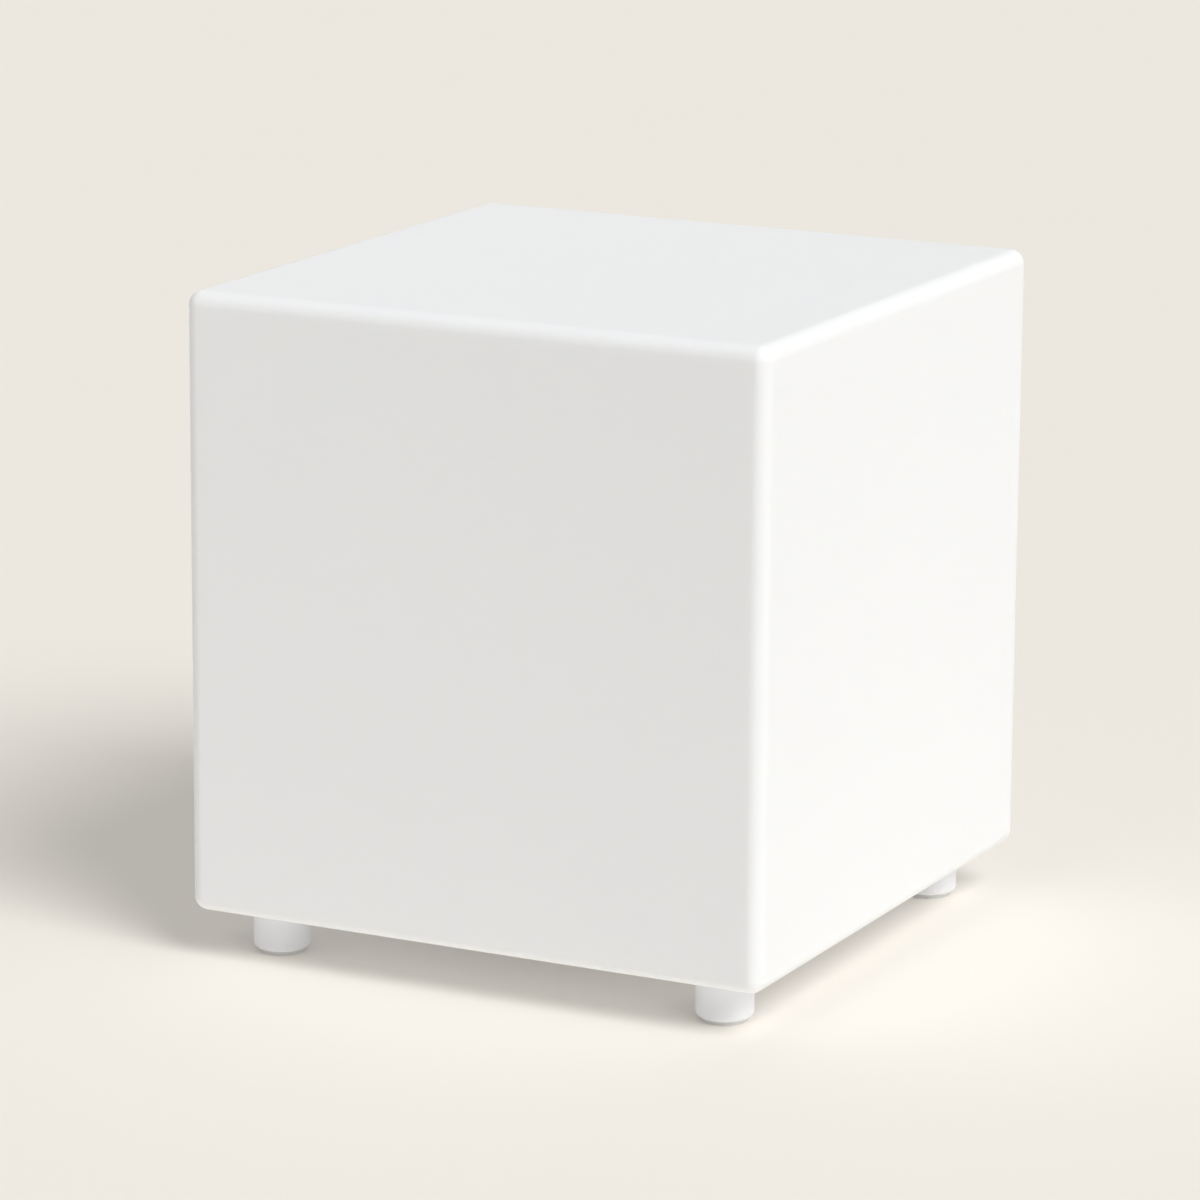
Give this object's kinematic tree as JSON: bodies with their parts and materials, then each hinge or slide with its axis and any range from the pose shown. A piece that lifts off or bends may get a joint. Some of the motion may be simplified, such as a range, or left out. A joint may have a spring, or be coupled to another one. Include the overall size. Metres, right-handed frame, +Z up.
{
  "type": "outdoor cube light",
  "caption": "White moulded cube light with rounded edges on short round feet, with a sealed rechargeable light module, power button and charging door underneath.",
  "frame": {"origin": "on the floor, under the middle of the cube", "axes": "+Z up; +X to the right and -Y to the front, where the charging port and power button are in the underside"},
  "size_m": [0.4, 0.4, 0.431],
  "materials": {
    "shell_plastic": "satin, slightly translucent, moulded",
    "foot_plastic": "satin",
    "pad_plastic": "fine matt",
    "housing_plastic": "fine moulded texture",
    "button_plastic": "satin",
    "plunger_plastic": "satin",
    "dark_plastic": "satin",
    "seal_rubber": "matt",
    "clear_silicone": "satin",
    "screw_steel": "zinc plated",
    "insert_brass": "turned",
    "nickel_strip": "nickel plated",
    "circuit_board": "solder mask",
    "white_board": "white solder mask",
    "component_plastic": "moulded",
    "led_phosphor": "phosphor in a white body",
    "cell_wrap": "shrink wrap",
    "strap_plastic": "woven strap",
    "deck_plastic": "satin",
    "dome_plastic": "milky, translucent",
    "lead_insulation": "smooth"
  },
  "bodies": {
    "root": {"shell": "shell_plastic", "foot_front_left": "foot_plastic", "foot_front_right": "foot_plastic", "foot_rear_left": "foot_plastic", "foot_rear_right": "foot_plastic", "glide_pad_front_left": "pad_plastic", "glide_pad_front_right": "pad_plastic", "glide_pad_rear_left": "pad_plastic", "glide_pad_rear_right": "pad_plastic", "foot_screws": "screw_steel", "foot_inserts": "insert_brass", "base_gasket": "seal_rubber", "base_inserts": "insert_brass", "base_screws": "screw_steel", "base_flange": "housing_plastic", "housing_gasket": "seal_rubber", "module_housing": "housing_plastic", "housing_screws": "screw_steel", "housing_washers": "seal_rubber", "button_seal": "clear_silicone", "tact_switch": "dark_plastic", "charge_socket": "nickel_strip", "socket_tongue": "dark_plastic", "socket_seal": "seal_rubber", "port_board": "circuit_board", "port_connector": "component_plastic", "port_board_screws": "screw_steel", "door_pin": "screw_steel", "control_board": "circuit_board", "board_components": "component_plastic", "board_screws": "screw_steel", "battery_cradle": "dark_plastic", "cradle_screws": "screw_steel", "battery_cell_front": "cell_wrap", "battery_cell_middle": "cell_wrap", "battery_cell_rear": "cell_wrap", "battery_contacts": "nickel_strip", "battery_strap": "strap_plastic", "deck_gasket": "seal_rubber", "led_deck": "deck_plastic", "lead_grommet": "seal_rubber", "led_board": "white_board", "leds": "led_phosphor", "led_board_screws": "screw_steel", "dome_gasket": "seal_rubber", "light_dome": "dome_plastic", "dome_screws": "screw_steel", "battery_leads": "lead_insulation", "charge_leads": "lead_insulation", "led_leads": "lead_insulation"},
    "power_button": {"power_button": "button_plastic", "switch_plunger": "plunger_plastic"},
    "port_door": {"port_door": "housing_plastic", "door_seal": "seal_rubber"}
  },
  "joints": [
    {"name": "button_press", "type": "slide", "parent": "root", "child": "power_button", "axis": [0, 0, 1], "range_m": [0, 0.001], "stiffness_N_per_m": 600, "springref_m": -0.003},
    {"name": "port_door_hinge", "type": "hinge", "parent": "root", "child": "port_door", "pos_m": [-0.037, -0.0227, 0.036], "axis": [1, 0, 0], "range_deg": [0, 90]}
  ]
}
